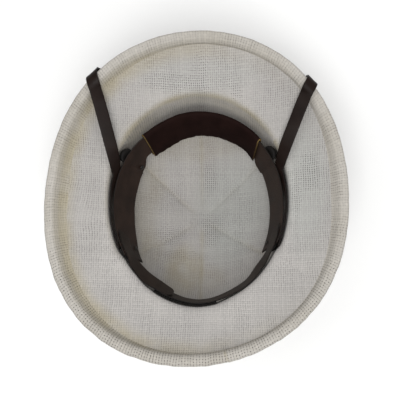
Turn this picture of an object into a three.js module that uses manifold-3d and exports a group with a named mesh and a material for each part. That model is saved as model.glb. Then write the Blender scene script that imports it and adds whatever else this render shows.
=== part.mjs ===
// A woven pith helmet lying on its crown with its head opening upwards. It has a moulded shell with six
// creases, a rolled binding round the brim, a headband on four hangers, a brow pad, rear straps and a
// chin strap. Millimetres. +Y is the helmet's front, +Z goes out of the opening, and it rests at z = 0.
import * as THREE from "three";
import { mergeVertices } from "three/addons/utils/BufferGeometryUtils.js";
import Module from "manifold-3d";

// Driving dimensions

const gap = 0.35; // between pieces that touch on the real helmet
const slack = 0.25; // added to the gap where two curved strips lie along each other
const shellWall = 2.6;

const brim = {
  radius: 164,
  crestSides: 138.5,
  crestFront: 150,
  crestBack: 151,
  straightShare: 0.72, // share of the brim's rise that is straight; the rest steepens towards the edge
};

// The outline was shaped by hand and isn't quite an oval. Each row adds waves round the brim's radius.
const outlineWaves = [
  { perTurn: 1, cosine: -0.25, sine: -1.0 },
  { perTurn: 2, cosine: -7.8, sine: 2.1 },
  { perTurn: 3, cosine: 0.4, sine: -1.0 },
  { perTurn: 4, cosine: -1.6, sine: -0.35 },
];

const opening = {
  halfWidth: 95.3,
  halfLength: 112.5,
  centreX: 1,
  centreY: 1,
  height: 104,
  rounding: 6.5, // length of the rounded corner on the wall and on the brim
};

const crown = {
  apexY: -8,
  power: 2.35, // a power above 2 makes the wall upright and the top broad
  flatRadius: 19, // the top is level inside this radius, and the helmet rests on that flat
  flatY: -3,
  panelDepth: 0.042, // how far a panel's middle lies inside its creases, as a share of the radius
  creases: [38, 90, 142, 216, 270, 324], // directions in degrees from +X
  stepsPerPanel: [11, 11, 15, 11, 11, 15],
};

const roll = {
  radius: 6.5,
  lift: 2.2, // the roll stands out further on the underside of the brim
  slotDepth: 8.2,
  sides: 9,
};

// The headband hangs on an oval ring inside the opening.
const band = {
  halfWidth: 89.4,
  halfLength: 99.8,
  centreX: 1,
  centreY: -5.8,
  nearHeight: 101.5,
  frontDrop: 3,
  thickness: 1.6,
  leanLeft: 26.5, // degrees that the band leans in towards its deep edge
  leanRight: 18,
  leanBack: 14,
  from: -31,
  to: 219,
  endSlant: 8, // degrees that each end is cut back at its near edge
  endShare: 0.12, // share of the band's length over which the slant eases off
  backPoint: 0.016, // the ring is drawn to a point where it meets the back crease
  backPointSpan: 26,
};

// The headband's width by direction, in degrees either side of the front.
const bandWidths = [
  { away: 0, width: 29 },
  { away: 47, width: 29 },
  { away: 56, width: 38 },
  { away: 75, width: 40 },
  { away: 110, width: 40 },
  { away: 132, width: 36 },
];

// The pad's ends slope: the first deepens towards the right side, the last towards the left.
const pad = { from: 43.5, to: 131.5, fromSlope: -5, toSlope: 2.5, width: 38, skin: 2.2, fold: 3 };

// The rear straps lie on the headband's inner face with a pointed end, then run on and lap at the back.
const rearStrap = { width: 18, thickness: 1.2, nearInset: 0.8, point: 6, leaves: 131 };
const rearEnds = {
  leftPoint: 195,
  leftTip: 252,
  rightPoint: -11,
  rightTip: -119,
  pileFrom: -118,
  pileTo: -63,
};
const pile = { width: 13, thickness: 1.3, overhang: 1.5 };

const chinStrap = { width: 13, thickness: 1.7, wallHeight: 97, rivetDrop: 2.5 };
// Where each half of the chin strap starts on the wall, is riveted, begins to twist, leaves the wall, and
// crosses the crest and the outer side of the roll, in degrees.
const chinRoute = {
  left: { start: 212, rivet: 209, twist: 186, leave: 164, cross: 133.2, over: 128.6 },
  right: { start: -31, rivet: -28, twist: -4, leave: 19, cross: 42.4, over: 45.6 },
};
const chinLift = 2.3; // how far the strap arches over the corner of the opening
const chinTwistOnWall = 0.4; // share of the twist that is made before the strap leaves the wall
const chinFront = 0.16; // how far out on the brim the strap lies at the middle of the front
const chinOff = chinStrap.thickness / 2 + gap + slack / 2;

// A hanger's flat legs need slack where they stand off the curved band and wall.
const hanger = { width: 14, thickness: 1.6, wallLeg: 17, slack: 0.35 };
const hangerPlaces = [
  { name: "front_left", at: 147.5, top: 1.5, rivetAt: 31 },
  { name: "front_right", at: 33.6, top: 1.5, rivetAt: 31 },
  { name: "rear_left", at: 208, top: -14, rivetAt: 32 },
  { name: "rear_right", at: -23.5, top: -14, rivetAt: 32 },
];

const rivet = { headRadius: 2.5, headHeight: 0.9, shankRadius: 1.2, sides: 10 };

// Materials

const weave = new THREE.MeshStandardMaterial({ color: 0xcfc9bd, roughness: 0.95, metalness: 0 });
const leather = new THREE.MeshStandardMaterial({ color: 0x3a2d29, roughness: 0.5, metalness: 0 });
const padLeather = new THREE.MeshStandardMaterial({ color: 0x23140f, roughness: 0.85, metalness: 0 });
const pileCloth = new THREE.MeshStandardMaterial({ color: 0x171412, roughness: 1, metalness: 0 });
const rivetMetal = new THREE.MeshStandardMaterial({ color: 0x1d1a18, roughness: 0.4, metalness: 0.6 });

// Small helpers

const rad = THREE.MathUtils.degToRad;
const lerp = THREE.MathUtils.lerp;
const vec = (x, y, z) => new THREE.Vector3(x, y, z);
const up = vec(0, 0, 1);
const steps = (count, make) => Array.from({ length: count + 1 }, (_, i) => make(i / count));
const smooth = (t) => THREE.MathUtils.smoothstep(t, 0, 1);

function lookUp(rows, key, value, x) {
  const next = rows.findIndex((row) => row[key] >= x);
  if (next < 0) return rows[rows.length - 1][value];
  if (next === 0) return rows[0][value];
  const a = rows[next - 1];
  const b = rows[next];
  return lerp(a[value], b[value], smooth((x - a[key]) / (b[key] - a[key])));
}

// Solids from rings of points

// Joins each ring of points to the next. Without closed, the first and last rings are capped.
function ringSolid(rings, { closed = false, capPlane = null } = {}) {
  const count = rings[0].length;
  const points = rings.flat();
  const faces = [];
  const pairs = closed ? rings.length : rings.length - 1;
  for (let i = 0; i < pairs; i++) {
    const a = i * count;
    const b = ((i + 1) % rings.length) * count;
    for (let j = 0; j < count; j++) {
      const k = (j + 1) % count;
      faces.push([a + j, b + j, b + k], [a + j, b + k, a + k]);
    }
  }
  if (!closed) {
    const flat = capPlane ?? rings[0].map((_, j) => polygonPoint(j, count));
    const turnedBack = THREE.ShapeUtils.isClockWise(flat);
    const last = (rings.length - 1) * count;
    for (const [p, q, r] of THREE.ShapeUtils.triangulateShape(flat, [])) {
      const [m, n] = turnedBack ? [r, q] : [q, r];
      faces.push([p, m, n], [last + p, last + n, last + m]);
    }
  }
  return meshOf(points, faces);
}

const polygonPoint = (j, count) =>
  new THREE.Vector2(Math.cos((2 * Math.PI * j) / count), Math.sin((2 * Math.PI * j) / count));

// Rings stacked from one pole to the other, each pole closed by a fan about its middle.
function poleSolid(rings) {
  const count = rings[0].length;
  const middle = (ring) => ring.reduce((sum, p) => sum.add(p), vec(0, 0, 0)).divideScalar(count);
  const points = [...rings.flat(), middle(rings[0]), middle(rings[rings.length - 1])];
  const faces = [];
  for (let i = 0; i + 1 < rings.length; i++) {
    for (let j = 0; j < count; j++) {
      const k = (j + 1) % count;
      const a = i * count;
      const b = a + count;
      faces.push([a + j, b + j, b + k], [a + j, b + k, a + k]);
    }
  }
  const last = (rings.length - 1) * count;
  for (let j = 0; j < count; j++) {
    const k = (j + 1) % count;
    faces.push([points.length - 2, j, k], [points.length - 1, last + k, last + j]);
  }
  return meshOf(points, faces);
}

// A geometry with its faces turned outwards.
function meshOf(points, faces) {
  let volume = 0;
  for (const [a, b, c] of faces) {
    volume += points[a].dot(vec(0, 0, 0).crossVectors(points[b], points[c]));
  }
  const index = faces.flatMap(([a, b, c]) => (volume < 0 ? [a, c, b] : [a, b, c]));
  const geometry = new THREE.BufferGeometry().setFromPoints(points);
  geometry.setIndex(index);
  return geometry;
}

// Cuts

const wasm = await Module();
wasm.setup();

function toManifold(geometry) {
  const bare = geometry.clone();
  bare.deleteAttribute("normal");
  bare.deleteAttribute("uv");
  const merged = mergeVertices(bare, 1e-4);
  return new wasm.Manifold(
    new wasm.Mesh({
      numProp: 3,
      vertProperties: merged.attributes.position.array,
      triVerts: new Uint32Array(merged.index.array),
    }),
  );
}

function cut(geometry, ...tools) {
  let solid = toManifold(geometry);
  for (const tool of tools) solid = solid.subtract(toManifold(tool));
  const mesh = solid.getMesh();
  const made = new THREE.BufferGeometry();
  made.setAttribute("position", new THREE.BufferAttribute(mesh.vertProperties.slice(), 3));
  made.setIndex(new THREE.BufferAttribute(mesh.triVerts.slice(), 1));
  return made;
}

// The shell's form

// Directions round the helmet, with one on each crease, and where each lies across its panel.
function shellDirections() {
  const made = [];
  crown.creases.forEach((from, i) => {
    const to = i + 1 < crown.creases.length ? crown.creases[i + 1] : crown.creases[0] + 360;
    const count = crown.stepsPerPanel[i];
    for (let s = 0; s < count; s++) made.push(rad(lerp(from, to, s / count)));
  });
  return made;
}

function acrossPanel(direction) {
  const degrees = THREE.MathUtils.euclideanModulo(THREE.MathUtils.radToDeg(direction), 360);
  const angles = [...crown.creases, crown.creases[0] + 360];
  const d = degrees < crown.creases[0] ? degrees + 360 : degrees;
  const i = angles.findIndex((a, k) => d >= a && d < (angles[k + 1] ?? Infinity));
  return (d - angles[i]) / (angles[i + 1] - angles[i]);
}

const ovalRadius = (a, b, t) => (a * b) / Math.hypot(b * Math.cos(t), a * Math.sin(t));

const openingRadius = (t) => ovalRadius(opening.halfWidth, opening.halfLength, t);

const brimRadius = (t) =>
  outlineWaves.reduce(
    (r, { perTurn, cosine, sine }) => r + cosine * Math.cos(perTurn * t) + sine * Math.sin(perTurn * t),
    brim.radius,
  );

const crestHeight = (t) =>
  lerp(brim.crestSides, Math.sin(t) > 0 ? brim.crestFront : brim.crestBack, Math.sin(t) ** 2);

// The crown's inner face: level is 0 at the middle of the top and 1 at the opening.
function crownPoint(t, level) {
  const angle = (level * Math.PI) / 2;
  const share = Math.sin(angle) ** (2 / crown.power);
  const drop = Math.cos(angle) ** (2 / crown.power);
  const fade = smooth(share / 0.35) * smooth((1 - share) / 0.06 + 0.25);
  const inset = 1 - crown.panelDepth * fade * Math.sin(Math.PI * acrossPanel(t));
  const r = openingRadius(t) * share * inset;
  const y = lerp(crown.apexY, opening.centreY, share);
  const z = opening.height - (opening.height - shellWall) * drop;
  return vec(opening.centreX + r * Math.cos(t), y + r * Math.sin(t), z);
}

// The roll's middle, which the edge of the brim points at.
function rollMiddle(t) {
  const r = brimRadius(t) - roll.radius + 0.4;
  return vec(r * Math.cos(t), r * Math.sin(t), crestHeight(t) - roll.radius - roll.lift * 0.6);
}

// The underside of the brim: out is 0 at the opening's corner and 1 at the roll's middle.
function brimPoint(t, out) {
  const corner = crownPoint(t, 1);
  const end = rollMiddle(t);
  const rise = brim.straightShare * out + (1 - brim.straightShare) * out * out;
  return vec(lerp(corner.x, end.x, out), lerp(corner.y, end.y, out), lerp(corner.z, end.z, rise));
}

// The inner face from the crown's level top to the brim's edge, as rings of points.
const crownLevels = [0.2, 0.3, 0.4, 0.5, 0.6, 0.7, 0.8, 0.88];
const brimOuts = [0.3, 0.5, 0.7, 0.87];

function innerLine(t) {
  const corner = crownPoint(t, 1);
  const outward = brimPoint(t, 0.2).sub(corner).normalize();
  const wallEnd = corner.clone().addScaledVector(up, -opening.rounding);
  const brimStart = corner.clone().addScaledVector(outward, opening.rounding);
  const round = new THREE.QuadraticBezierCurve3(wallEnd, corner, brimStart);
  const top = crownPoint(t, 0.2);
  const middle = vec(opening.centreX, crown.flatY, top.z);
  const rim = top.clone().sub(middle).setLength(crown.flatRadius).add(middle).setZ(shellWall);
  const edge = brimPoint(t, 1);
  const edgeWay = edge.clone().sub(brimPoint(t, 0.95)).normalize();
  return [
    rim,
    ...crownLevels.map((level) => crownPoint(t, level)),
    ...steps(3, (s) => round.getPoint(s)),
    ...brimOuts.map((out) => brimPoint(t, out)),
    edge.addScaledVector(edgeWay, roll.slotDepth - roll.radius - gap),
  ];
}

// Moves a line of points sideways in its own upright plane, away from the hollow.
function outsideLine(line, t, distance) {
  return line.map((p, i) => {
    if (i === 0) return p.clone().setZ(p.z - distance);
    const before = line[i - 1];
    const after = line[Math.min(i + 1, line.length - 1)];
    return p.clone().addScaledVector(squareTo(after.clone().sub(before), t), -distance);
  });
}

function makeShell(directions) {
  const lines = directions.map((t) => {
    const inner = innerLine(t);
    return [...inner, ...outsideLine(inner, t, shellWall).reverse()];
  });
  const rings = lines[0].map((_, i) => lines.map((line) => line[i]));
  return poleSolid(rings);
}

// The upright unit vector at right angles to a way across the brim, on the side of its underside.
function squareTo(way, t) {
  const radial = vec(Math.cos(t), Math.sin(t), 0);
  return up.clone().multiplyScalar(way.dot(radial)).addScaledVector(radial, -way.z).normalize();
}

function rollFrame(t) {
  const middle = rollMiddle(t);
  const along = middle.clone().sub(brimPoint(t, 0.95)).normalize();
  return { middle, along, facing: squareTo(along, t) };
}

// The rolled binding: a round section with a slot that takes the brim's edge.
function rollSection(t) {
  const { middle, along, facing } = rollFrame(t);
  const at = (a, n) => middle.clone().addScaledVector(along, a).addScaledVector(facing, n);
  const slotTop = gap + 0.1;
  const slotBottom = -shellWall - slotTop;
  const centre = roll.lift - shellWall / 2;
  const angleAt = (n) => Math.asin((n - centre) / roll.radius);
  const first = Math.PI - angleAt(slotBottom);
  const last = 3 * Math.PI - angleAt(slotTop);
  const arc = steps(roll.sides, (s) => {
    const angle = lerp(first, last, s);
    return at(roll.radius * Math.cos(angle), centre + roll.radius * Math.sin(angle));
  });
  const slotEnd = roll.slotDepth - roll.radius;
  return [...arc, at(slotEnd, slotTop), at(slotEnd, slotBottom)];
}

const makeBinding = (directions) => ringSolid(directions.map(rollSection), { closed: true });

// The headband's surface

const awayFromFront = (degrees) => Math.abs(((((degrees - 90) % 360) + 540) % 360) - 180);

// A point on the hanging ring: deep is measured from its near edge along its face, and off towards the head.
function bandPoint(degrees, deep, off) {
  const t = rad(degrees);
  const away = awayFromFront(degrees);
  const point = 1 + band.backPoint * Math.max(0, 1 - (180 - away) / band.backPointSpan);
  const near = vec(
    band.centreX + band.halfWidth * point * Math.cos(t),
    band.centreY + band.halfLength * point * Math.sin(t),
    band.nearHeight - band.frontDrop * smooth(1 - away / 70),
  );
  const outward = vec(band.halfLength * Math.cos(t), band.halfWidth * Math.sin(t), 0).normalize();
  const leanSide = lerp(band.leanRight, band.leanLeft, smooth(0.5 - 0.7 * Math.cos(t)));
  const lean = rad(lerp(leanSide, band.leanBack, smooth((away - 92) / 48)));
  return near
    .addScaledVector(outward, -deep * Math.sin(lean) - off * Math.cos(lean))
    .addScaledVector(up, -deep * Math.cos(lean) + off * Math.sin(lean));
}

const bandWidth = (degrees) => lookUp(bandWidths, "away", "width", awayFromFront(degrees));

// A strip on the ring between two directions. Section gives its corners at each direction as
// [deep, off, shift], where shift moves a corner on by that many degrees.
function bandStrip(from, to, count, section) {
  const rings = steps(count, (s) => {
    const degrees = lerp(from, to, s);
    return section(degrees, s).map(([deep, off, shift = 0]) => bandPoint(degrees + shift, deep, off));
  });
  const plane = section(from, 0).map(([deep, off]) => new THREE.Vector2(deep, off));
  return ringSolid(rings, { capPlane: plane });
}

const flatSection = (deepFrom, deepTo, offFrom, offTo) => [
  [deepFrom, offFrom],
  [deepFrom, offTo],
  [deepTo, offTo],
  [deepTo, offFrom],
];

function makeHeadband() {
  const half = band.thickness / 2;
  const solid = bandStrip(band.from, band.to, 56, (degrees, s) => {
    const atStart = smooth(1 - s / band.endShare);
    const atEnd = smooth(1 - (1 - s) / band.endShare);
    const slant = band.endSlant * (atStart - atEnd);
    const width = bandWidth(degrees);
    return [
      [0, -half, slant],
      [0, half, slant],
      [width, half],
      [width, -half],
    ];
  });
  return cut(solid, ...hangerPlaces.map(rivetHole));
}

// The brow pad is folded over the band's near edge, and both of its flaps hang past the band.
function makePad() {
  const inner = band.thickness / 2 + gap + slack;
  const outer = inner + pad.skin;
  const flapEnd = pad.width - pad.fold;
  const profile = [
    [flapEnd, inner],
    [flapEnd, outer - 0.9],
    [pad.width * 0.7, outer],
    [pad.width * 0.25, outer + 0.5],
    [0, outer],
    [-pad.fold, outer * 0.45],
    [-pad.fold, -outer * 0.45],
    [0, -outer + 0.6],
    [flapEnd, -outer + 0.9],
    [flapEnd, -inner],
    [-gap, -inner],
    [-gap, inner],
  ];
  return bandStrip(pad.from, pad.to, 26, (degrees, s) => {
    const slope = pad.fromSlope * smooth(1 - s / 0.3) + pad.toSlope * smooth((s - 0.7) / 0.3);
    return profile.map(([deep, off]) => [deep, off, (slope * deep) / flapEnd]);
  });
}

// How far off the ring's middle a rear strap lies: on the headband's inner face, then in its own layer.
function rearOffset(away, layer) {
  const onBand = band.thickness / 2 + gap + slack + rearStrap.thickness / 2;
  return lerp(onBand, layer, smooth((away - rearStrap.leaves) / 14));
}

function makeRearStrap(point, tip, layer) {
  const half = rearStrap.thickness / 2;
  const near = rearStrap.nearInset;
  return bandStrip(point, tip, 36, (degrees, s) => {
    const off = rearOffset(awayFromFront(degrees), layer);
    const pointed = Math.min(1, 0.08 + Math.abs(degrees - point) / rearStrap.point);
    const rounded = 1 - 0.2 * smooth((s - 0.97) / 0.03);
    return flatSection(near, near + rearStrap.width * pointed * rounded, off - half, off + half);
  });
}

// The hook-and-loop strip on the outer face of the right rear strap.
function makePile() {
  const under = -rearStrap.thickness - 1.5 * gap - slack / 2;
  return bandStrip(rearEnds.pileFrom, rearEnds.pileTo, 18, () =>
    flatSection(-pile.overhang, pile.width - pile.overhang, under - pile.thickness, under),
  );
}

// Ribbons: a flat strap through points that each have the direction its face looks in

function ribbon(route, width, thickness) {
  const rings = route.map(({ at }, i) => {
    const before = route[Math.max(i - 1, 0)].at;
    const after = route[Math.min(i + 1, route.length - 1)].at;
    const along = after.clone().sub(before).normalize();
    const side = vec(0, 0, 0).crossVectors(route[i].face, along).normalize();
    const face = vec(0, 0, 0).crossVectors(along, side);
    const corner = (w, n) => at.clone().addScaledVector(side, w).addScaledVector(face, n);
    const w = width / 2;
    const n = thickness / 2;
    return [corner(-w, -n), corner(w, -n), corner(w, n), corner(-w, n)];
  });
  return ringSolid(rings);
}

// The inner wall of the crown at a height, a distance off its face.
function wallPlace(degrees, height, off) {
  const t = rad(degrees);
  const share = (opening.height - height) / (opening.height - shellWall);
  const angle = Math.acos(share ** (crown.power / 2));
  const p = crownPoint(t, (angle * 2) / Math.PI);
  const face = vec(-opening.halfLength * Math.cos(t), -opening.halfWidth * Math.sin(t), 0).normalize();
  return { at: p.setZ(height).addScaledVector(face, off), face };
}

// A place round the roll: turn is 0 on its crest, and grows over the edge to the outer side.
function rollPlace(degrees, turn, off) {
  const { middle, along, facing } = rollFrame(rad(degrees));
  const face = facing.clone().multiplyScalar(Math.cos(turn)).addScaledVector(along, Math.sin(turn));
  const centre = middle.addScaledVector(facing, roll.lift - shellWall / 2);
  return { at: centre.addScaledVector(face, roll.radius + off), face };
}

// A place on the outer side of the brim.
function outerBrimPlace(degrees, out, off) {
  const t = rad(degrees);
  const way = brimPoint(t, out + 0.02).sub(brimPoint(t, out - 0.02));
  const face = squareTo(way, t).negate();
  return { at: brimPoint(t, out).addScaledVector(face, shellWall + off), face };
}

// A place of the chin strap on the wall, clear of the wall at its lower edge too.
function chinWallPlace(degrees) {
  const lowerEdge = chinStrap.wallHeight - chinStrap.width / 2;
  const { at, face } = wallPlace(degrees, lowerEdge, chinOff + gap);
  return { at: at.setZ(chinStrap.wallHeight), face };
}

// One half of the chin strap. Its outer edge runs along the wall and then straight to the crest of the
// roll, and the strap twists flat about that edge on the way.
function chinHalf({ start, twist, leave, cross, over }) {
  const reach = chinStrap.width / 2;
  const crest = rollPlace(cross, -0.25, chinOff + 0.4);
  const onWall = steps(16, (s) => {
    const degrees = lerp(start, leave, s);
    const { at, face } = chinWallPlace(degrees);
    const turned = chinTwistOnWall * Math.max(0, (degrees - twist) / (leave - twist));
    return { edge: at.addScaledVector(up, reach + 2.5 * turned), inward: face, turned };
  });
  const last = onWall[onWall.length - 1];
  const along = crest.at.clone().sub(last.edge).normalize();
  const hand = Math.sign(vec(0, 0, 0).crossVectors(last.inward, along).z);
  const crestSide = vec(0, 0, 0).crossVectors(crest.face, along).setLength(hand * reach);
  const edgeTo = crest.at.clone().add(crestSide);
  const rising = steps(14, (s) => {
    const lift = chinLift * Math.sin(Math.PI * Math.min(1, s / 0.6));
    const edge = last.edge.clone().lerp(edgeTo, s).addScaledVector(up, lift);
    const turned = lerp(chinTwistOnWall, 1, Math.min(1, s / 0.3));
    return { edge, inward: last.inward, turned, settled: smooth((s - 0.8) / 0.2) };
  });
  const line = [...onWall, ...rising.slice(1)];
  const brimFace = crest.face.clone().add(up).normalize();
  const places = line.map(({ edge, inward, turned, settled = 0 }, i) => {
    const before = line[Math.max(i - 1, 0)].edge;
    const after = line[Math.min(i + 1, line.length - 1)].edge;
    const angle = (turned * Math.PI) / 2;
    const face = inward.clone().multiplyScalar(Math.cos(angle)).addScaledVector(brimFace, Math.sin(angle));
    face.normalize().lerp(crest.face, settled);
    const side = vec(0, 0, 0).crossVectors(face, after.clone().sub(before)).setLength(-hand * reach);
    return { at: edge.clone().add(side), face };
  });
  const around = steps(8, (s) => {
    const off = chinOff + lerp(0.4, 1.25, s ** 3);
    return rollPlace(lerp(cross, over, s), lerp(-0.25, 2.9, s), off);
  });
  return [...places, ...around.slice(1)];
}

function chinOver(from, to) {
  const off = chinOff;
  return steps(24, (s) => {
    const out = lerp(chinFront, 0.66, Math.abs(2 * s - 1) ** 1.6);
    return outerBrimPlace(lerp(from, to, s), out, off + 0.9);
  });
}

function makeChinStrap() {
  const left = chinHalf(chinRoute.left);
  const right = chinHalf(chinRoute.right).reverse();
  const over = chinOver(chinRoute.left.over - 5, chinRoute.right.over + 5);
  const solid = ribbon([...left, ...over, ...right], chinStrap.width, chinStrap.thickness);
  return cut(solid, ...chinRivetHoles());
}

// Rivets

// A turned solid about the line from a point along a direction, from [radius, distance] steps.
function turned(profile, at, way) {
  const a = vec(way.y, -way.x, 0).normalize();
  const b = vec(0, 0, 0).crossVectors(way, a);
  const rings = profile.map(([radius, distance]) =>
    steps(rivet.sides - 1, (s) => {
      const angle = (2 * Math.PI * s * (rivet.sides - 1)) / rivet.sides;
      return at
        .clone()
        .addScaledVector(way, distance)
        .addScaledVector(a, radius * Math.cos(angle))
        .addScaledVector(b, radius * Math.sin(angle));
    }),
  );
  return poleSolid(rings);
}

// A rivet that holds what lies between two distances along its line, with a domed head at the far one.
function rivetSolid(at, way, from, to) {
  const { headRadius, headHeight, shankRadius } = rivet;
  const profile = [
    [headRadius * 0.8, from - headHeight * 0.7],
    [headRadius * 0.9, from],
    [shankRadius, from],
    [shankRadius, to],
    [headRadius, to],
    [headRadius * 0.85, to + headHeight * 0.6],
    [headRadius * 0.45, to + headHeight],
  ];
  return turned(profile, at, way);
}

function holeAlong(at, way, reach) {
  const radius = rivet.shankRadius + gap;
  const profile = [
    [radius, -reach],
    [radius, reach],
  ];
  return turned(profile, at, way);
}

// Where a hanger's rivet goes through the band, and the way its head looks.
function bandRivetLine(place) {
  const at = bandPoint(place.at, place.rivetAt, 0);
  const way = bandPoint(place.at, place.rivetAt, 1).sub(at).normalize();
  return { at, way };
}

function rivetHole(place) {
  const { at, way } = bandRivetLine(place);
  return holeAlong(at, way, 5);
}

function makeBandRivet(place) {
  const { at, way } = bandRivetLine(place);
  const half = band.thickness / 2;
  const behind = half + hanger.thickness + 3 * gap + 2 * hanger.slack;
  return rivetSolid(at, way, -behind, half + gap + slack);
}

function chinRivetPlace(degrees) {
  const { at, face } = chinWallPlace(degrees);
  return { at: at.addScaledVector(up, -chinStrap.rivetDrop), face };
}

function chinRivetHoles() {
  return Object.values(chinRoute).map((route) => {
    const { at, face } = chinRivetPlace(route.rivet);
    return holeAlong(at, face, 7);
  });
}

function makeChinRivet(degrees) {
  const { at, face } = chinRivetPlace(degrees);
  const behind = chinOff + shellWall + 4 * gap;
  return rivetSolid(at, face, -behind, chinStrap.thickness / 2 + gap + slack);
}

// Hangers

// A folded tab: one leg on the crown's wall, a rounded fold, and one leg behind the band down to its rivet.
function makeHanger(place) {
  const t = rad(place.at);
  const outward = vec(band.halfLength * Math.cos(t), band.halfWidth * Math.sin(t), 0).normalize();
  const across = vec(-outward.y, outward.x, 0);
  const half = hanger.thickness / 2;
  const legOff = -(band.thickness / 2 + gap + half + hanger.slack);
  const near = bandPoint(place.at, 0, 0);
  const flat = (p) => new THREE.Vector2(p.clone().sub(near).dot(outward), p.z);
  const top = near.z + place.top;
  const wallAt = (height) => {
    const reaches = [-0.5, 0, 0.5].map((w) => {
      const from = near.clone().addScaledVector(across, w * hanger.width);
      return wallReach(from, outward, height);
    });
    return new THREE.Vector2(Math.min(...reaches) - half - gap - hanger.slack, height);
  };
  const spread = THREE.MathUtils.radToDeg(hanger.width / 2 / band.halfWidth);
  const bandAt = (deep) => {
    const middle = flat(bandPoint(place.at, deep, legOff));
    const others = [-spread, spread].map((turn) => flat(bandPoint(place.at + turn, deep, legOff)).x);
    return middle.setX(Math.max(middle.x, ...others));
  };
  const deepTop = Math.max(1, -place.top + 3);
  const wallTop = wallAt(top - 3);
  const bandTop = bandAt(deepTop);
  const crest = new THREE.Vector2((wallTop.x + bandTop.x) / 2, top + 2);
  const fold = new THREE.QuadraticBezierCurve(wallTop, crest, bandTop);
  const line = [
    wallAt(top - hanger.wallLeg),
    wallAt(top - hanger.wallLeg / 2),
    ...fold.getPoints(6),
    bandAt(lerp(deepTop, place.rivetAt, 0.5)),
    bandAt(place.rivetAt + 4),
  ];
  const rings = line.map((p, i) => {
    const before = line[Math.max(i - 1, 0)];
    const after = line[Math.min(i + 1, line.length - 1)];
    const way = after.clone().sub(before).normalize();
    const normal = new THREE.Vector2(-way.y, way.x);
    const corner = (w, n) =>
      near
        .clone()
        .setZ(0)
        .addScaledVector(outward, p.x + normal.x * n)
        .addScaledVector(up, p.y + normal.y * n)
        .addScaledVector(across, w);
    const w = hanger.width / 2;
    return [corner(-w, -half), corner(w, -half), corner(w, half), corner(-w, half)];
  });
  return cut(ringSolid(rings), rivetHole(place));
}

// How far the crown's wall at a height is from a point of the band, along a level line.
function wallReach(from, outward, height) {
  const share = (opening.height - height) / (opening.height - shellWall);
  const angle = Math.acos(Math.min(1, Math.max(0, share)) ** (crown.power / 2));
  const level = (angle * 2) / Math.PI;
  let reach = 0;
  for (let pass = 0; pass < 12; pass++) {
    const p = from.clone().addScaledVector(outward, reach);
    const t = Math.atan2(p.y - opening.centreY, p.x - opening.centreX);
    const wall = crownPoint(t, level);
    reach += wall.sub(p).setZ(0).dot(outward);
  }
  return reach;
}

// The assembly

const helmet = new THREE.Group();

function addPiece(name, geometry, material) {
  const flat = geometry.index ? geometry.toNonIndexed() : geometry;
  flat.computeVertexNormals();
  const mesh = new THREE.Mesh(flat, material);
  mesh.name = name;
  helmet.add(mesh);
}

const directions = shellDirections();

addPiece("shell", cut(makeShell(directions), ...chinRivetHoles()), weave);
addPiece("edge_binding", makeBinding(directions), weave);
addPiece("headband", makeHeadband(), leather);
addPiece("brow_pad", makePad(), padLeather);
const layer = (rearStrap.thickness + gap) / 2 + 0.05; // each rear strap's distance from the ring's middle
addPiece("rear_strap_left", makeRearStrap(rearEnds.leftPoint, rearEnds.leftTip, layer), leather);
addPiece("rear_strap_right", makeRearStrap(rearEnds.rightPoint, rearEnds.rightTip, -layer), leather);
addPiece("rear_pile_strip", makePile(), pileCloth);
addPiece("chin_strap", makeChinStrap(), leather);
for (const place of hangerPlaces) {
  addPiece(`hanger_${place.name}`, makeHanger(place), leather);
  addPiece(`rivet_${place.name}`, makeBandRivet(place), rivetMetal);
}
for (const [side, route] of Object.entries(chinRoute)) {
  addPiece(`chin_rivet_${side}`, makeChinRivet(route.rivet), rivetMetal);
}

export default helmet;
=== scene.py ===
import math
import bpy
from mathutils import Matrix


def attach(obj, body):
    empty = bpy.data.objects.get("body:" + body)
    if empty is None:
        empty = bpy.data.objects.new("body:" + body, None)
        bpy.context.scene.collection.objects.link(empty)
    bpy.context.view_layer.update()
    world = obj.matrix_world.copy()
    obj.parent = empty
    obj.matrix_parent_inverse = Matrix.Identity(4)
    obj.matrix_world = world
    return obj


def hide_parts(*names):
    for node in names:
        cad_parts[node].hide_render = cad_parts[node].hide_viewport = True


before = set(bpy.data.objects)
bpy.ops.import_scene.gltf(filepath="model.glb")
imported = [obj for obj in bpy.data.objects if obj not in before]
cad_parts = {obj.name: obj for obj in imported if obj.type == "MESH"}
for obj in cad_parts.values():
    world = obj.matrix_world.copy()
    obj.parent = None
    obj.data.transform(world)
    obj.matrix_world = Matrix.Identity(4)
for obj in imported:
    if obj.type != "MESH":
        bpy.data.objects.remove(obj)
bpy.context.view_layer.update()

from types import SimpleNamespace as Sizes

import bmesh
import bpy
import numpy as np
from mathutils import Matrix, Vector

# The helmet lies on its crown and the camera looks down into it. Sizes are in millimetres, as in the
# part's source, and become metres when a mesh is made. +Y is the helmet's front, +Z goes out of the opening.

MM = 0.001
PI = math.pi
GAP = 0.35  # between pieces that lie on each other
WALL = 2.6  # the shell's thickness

# Camera

IMAGE = 416
SENSOR = 36
FOCAL = 814.6 / IMAGE * SENSOR
CAMERA_AT = (40.9, -127.05, 946.2)
CAMERA_TO = (11.5, -8.83, 105)


scene = bpy.context.scene


def add_object(name, data):
    made = bpy.data.objects.new(name, data)
    scene.collection.objects.link(made)
    return made


def new_mesh(name, points, faces, material):
    mesh = bpy.data.meshes.new(name)
    mesh.from_pydata(points, [], faces)
    mesh.materials.append(material)
    return mesh


def make_camera():
    data = bpy.data.cameras.new("camera")
    data.sensor_width = SENSOR
    data.lens = FOCAL
    camera = add_object("camera", data)
    back = (Vector(CAMERA_AT) - Vector(CAMERA_TO)).normalized()
    right = Vector((0, 1, 0)).cross(back).normalized()
    axes = Matrix((right, back.cross(right), back)).transposed().to_4x4()
    camera.matrix_world = Matrix.Translation(Vector(CAMERA_AT) * MM) @ axes
    scene.camera = camera


make_camera()

# The form, from the same sizes and formulas as the solids

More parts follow.
